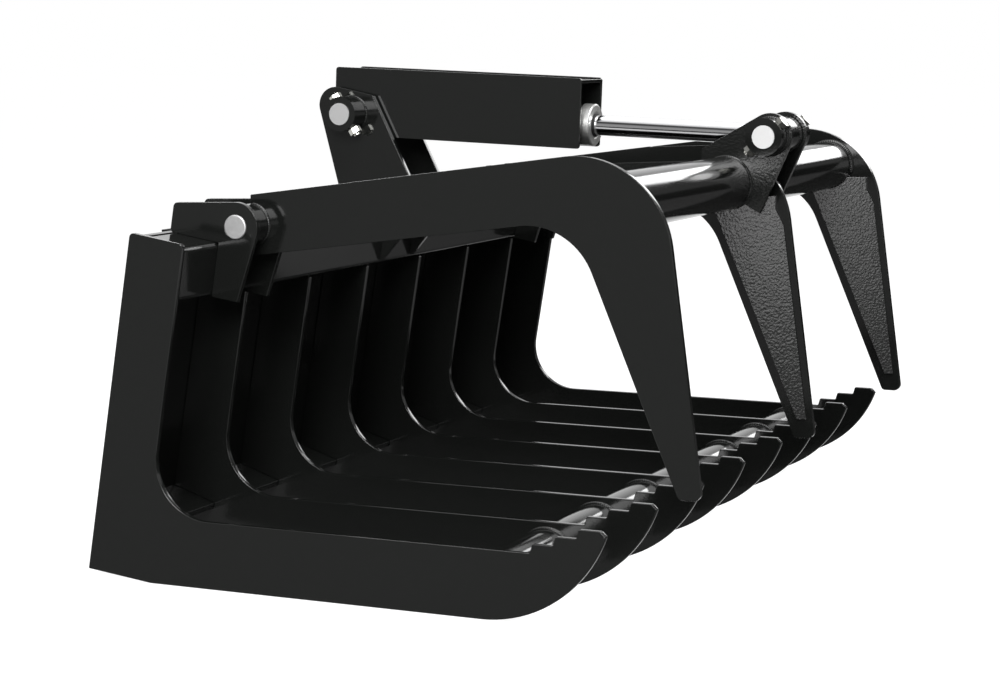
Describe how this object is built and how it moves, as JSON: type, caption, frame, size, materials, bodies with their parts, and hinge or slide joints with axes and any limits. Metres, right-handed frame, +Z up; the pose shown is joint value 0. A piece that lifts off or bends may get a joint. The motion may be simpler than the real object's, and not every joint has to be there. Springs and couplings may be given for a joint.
{
  "type": "root grapple",
  "caption": "Loader root grapple: a rack of L-shaped tines and a three-arm clamp worked by a guarded hydraulic cylinder.",
  "frame": {"origin": "on the floor under the middle of the grapple's overall box", "axes": "+X across the grapple towards tine 8, -Y forward to the tine tips, +Z up"},
  "size_m": [1.524, 0.9754, 0.7788],
  "materials": {
    "black_paint": "black powder coat, glossy with a light orange peel",
    "pin_steel": "bare turned steel",
    "zinc_plate": "bright zinc plate",
    "bare_steel": "bare turned steel",
    "hard_chrome": "polished hard chrome",
    "black_rubber": "matt black seal"
  },
  "bodies": {
    "frame": {"tine_1": "black_paint", "tine_2": "black_paint", "tine_3": "black_paint", "tine_4": "black_paint", "tine_5": "black_paint", "tine_6": "black_paint", "tine_7": "black_paint", "tine_8": "black_paint", "back_plate": "black_paint", "hook_lip": "black_paint", "lower_plate": "black_paint", "rear_rail": "black_paint", "front_tube": "black_paint", "hinge_ear_left_outer": "black_paint", "hinge_ear_left_inner": "black_paint", "hinge_ear_right_inner": "black_paint", "hinge_ear_right_outer": "black_paint", "hinge_pin_left": "pin_steel", "hinge_pin_middle": "pin_steel", "hinge_pin_right": "pin_steel", "cylinder_bracket_left": "black_paint", "cylinder_bracket_right": "black_paint", "rear_collar_left": "black_paint", "rear_collar_right": "black_paint", "rear_pin": "pin_steel", "rear_pin_bolts": "zinc_plate", "rear_pin_nuts": "zinc_plate"},
    "clamp": {"clamp_arm_left": "black_paint", "clamp_arm_middle": "black_paint", "clamp_arm_right": "black_paint", "clamp_tube": "black_paint", "hinge_boss_left": "black_paint", "hinge_boss_middle": "black_paint", "hinge_boss_right": "black_paint", "stiffener_left": "black_paint", "stiffener_middle_left": "black_paint", "stiffener_middle_right": "black_paint", "stiffener_right": "black_paint", "bar_stiffener_left": "black_paint", "bar_stiffener_right": "black_paint", "rod_ear_left": "black_paint", "rod_ear_right": "black_paint", "rod_collar_left": "black_paint", "rod_collar_right": "black_paint", "rod_pin": "pin_steel", "rod_pin_bolts": "zinc_plate", "rod_pin_nuts": "zinc_plate"},
    "rod": {"piston": "bare_steel", "piston_rod": "hard_chrome", "rod_eye": "black_paint"},
    "cylinder": {"base_eye": "black_paint", "barrel": "black_paint", "cylinder_ports": "bare_steel", "gland": "bare_steel", "rod_wiper": "black_rubber", "guard_left": "black_paint", "guard_right": "black_paint", "guard_top": "black_paint"}
  },
  "joints": [
    {"name": "clamp_hinge", "type": "hinge", "parent": "frame", "child": "clamp", "pos_m": [0, 0.24948, 0.542], "axis": [-1, 0, 0], "range_deg": [-8, 45]},
    {"name": "rod_swing", "type": "hinge", "parent": "clamp", "child": "rod", "pos_m": [0, -0.41349, 0.67253], "axis": [-1, 0, 0], "range_deg": [-3.3, 0.7]},
    {"name": "barrel_slide", "type": "slide", "parent": "rod", "child": "cylinder", "axis": [0, 0.9995, 0.0328], "range_m": [-0.135, 0.025]}
  ],
  "couplings": [
    {"joint": "rod_swing", "follows": "clamp_hinge", "ratio": -0.07},
    {"joint": "barrel_slide", "follows": "clamp_hinge", "m_per_rad": -0.168}
  ]
}
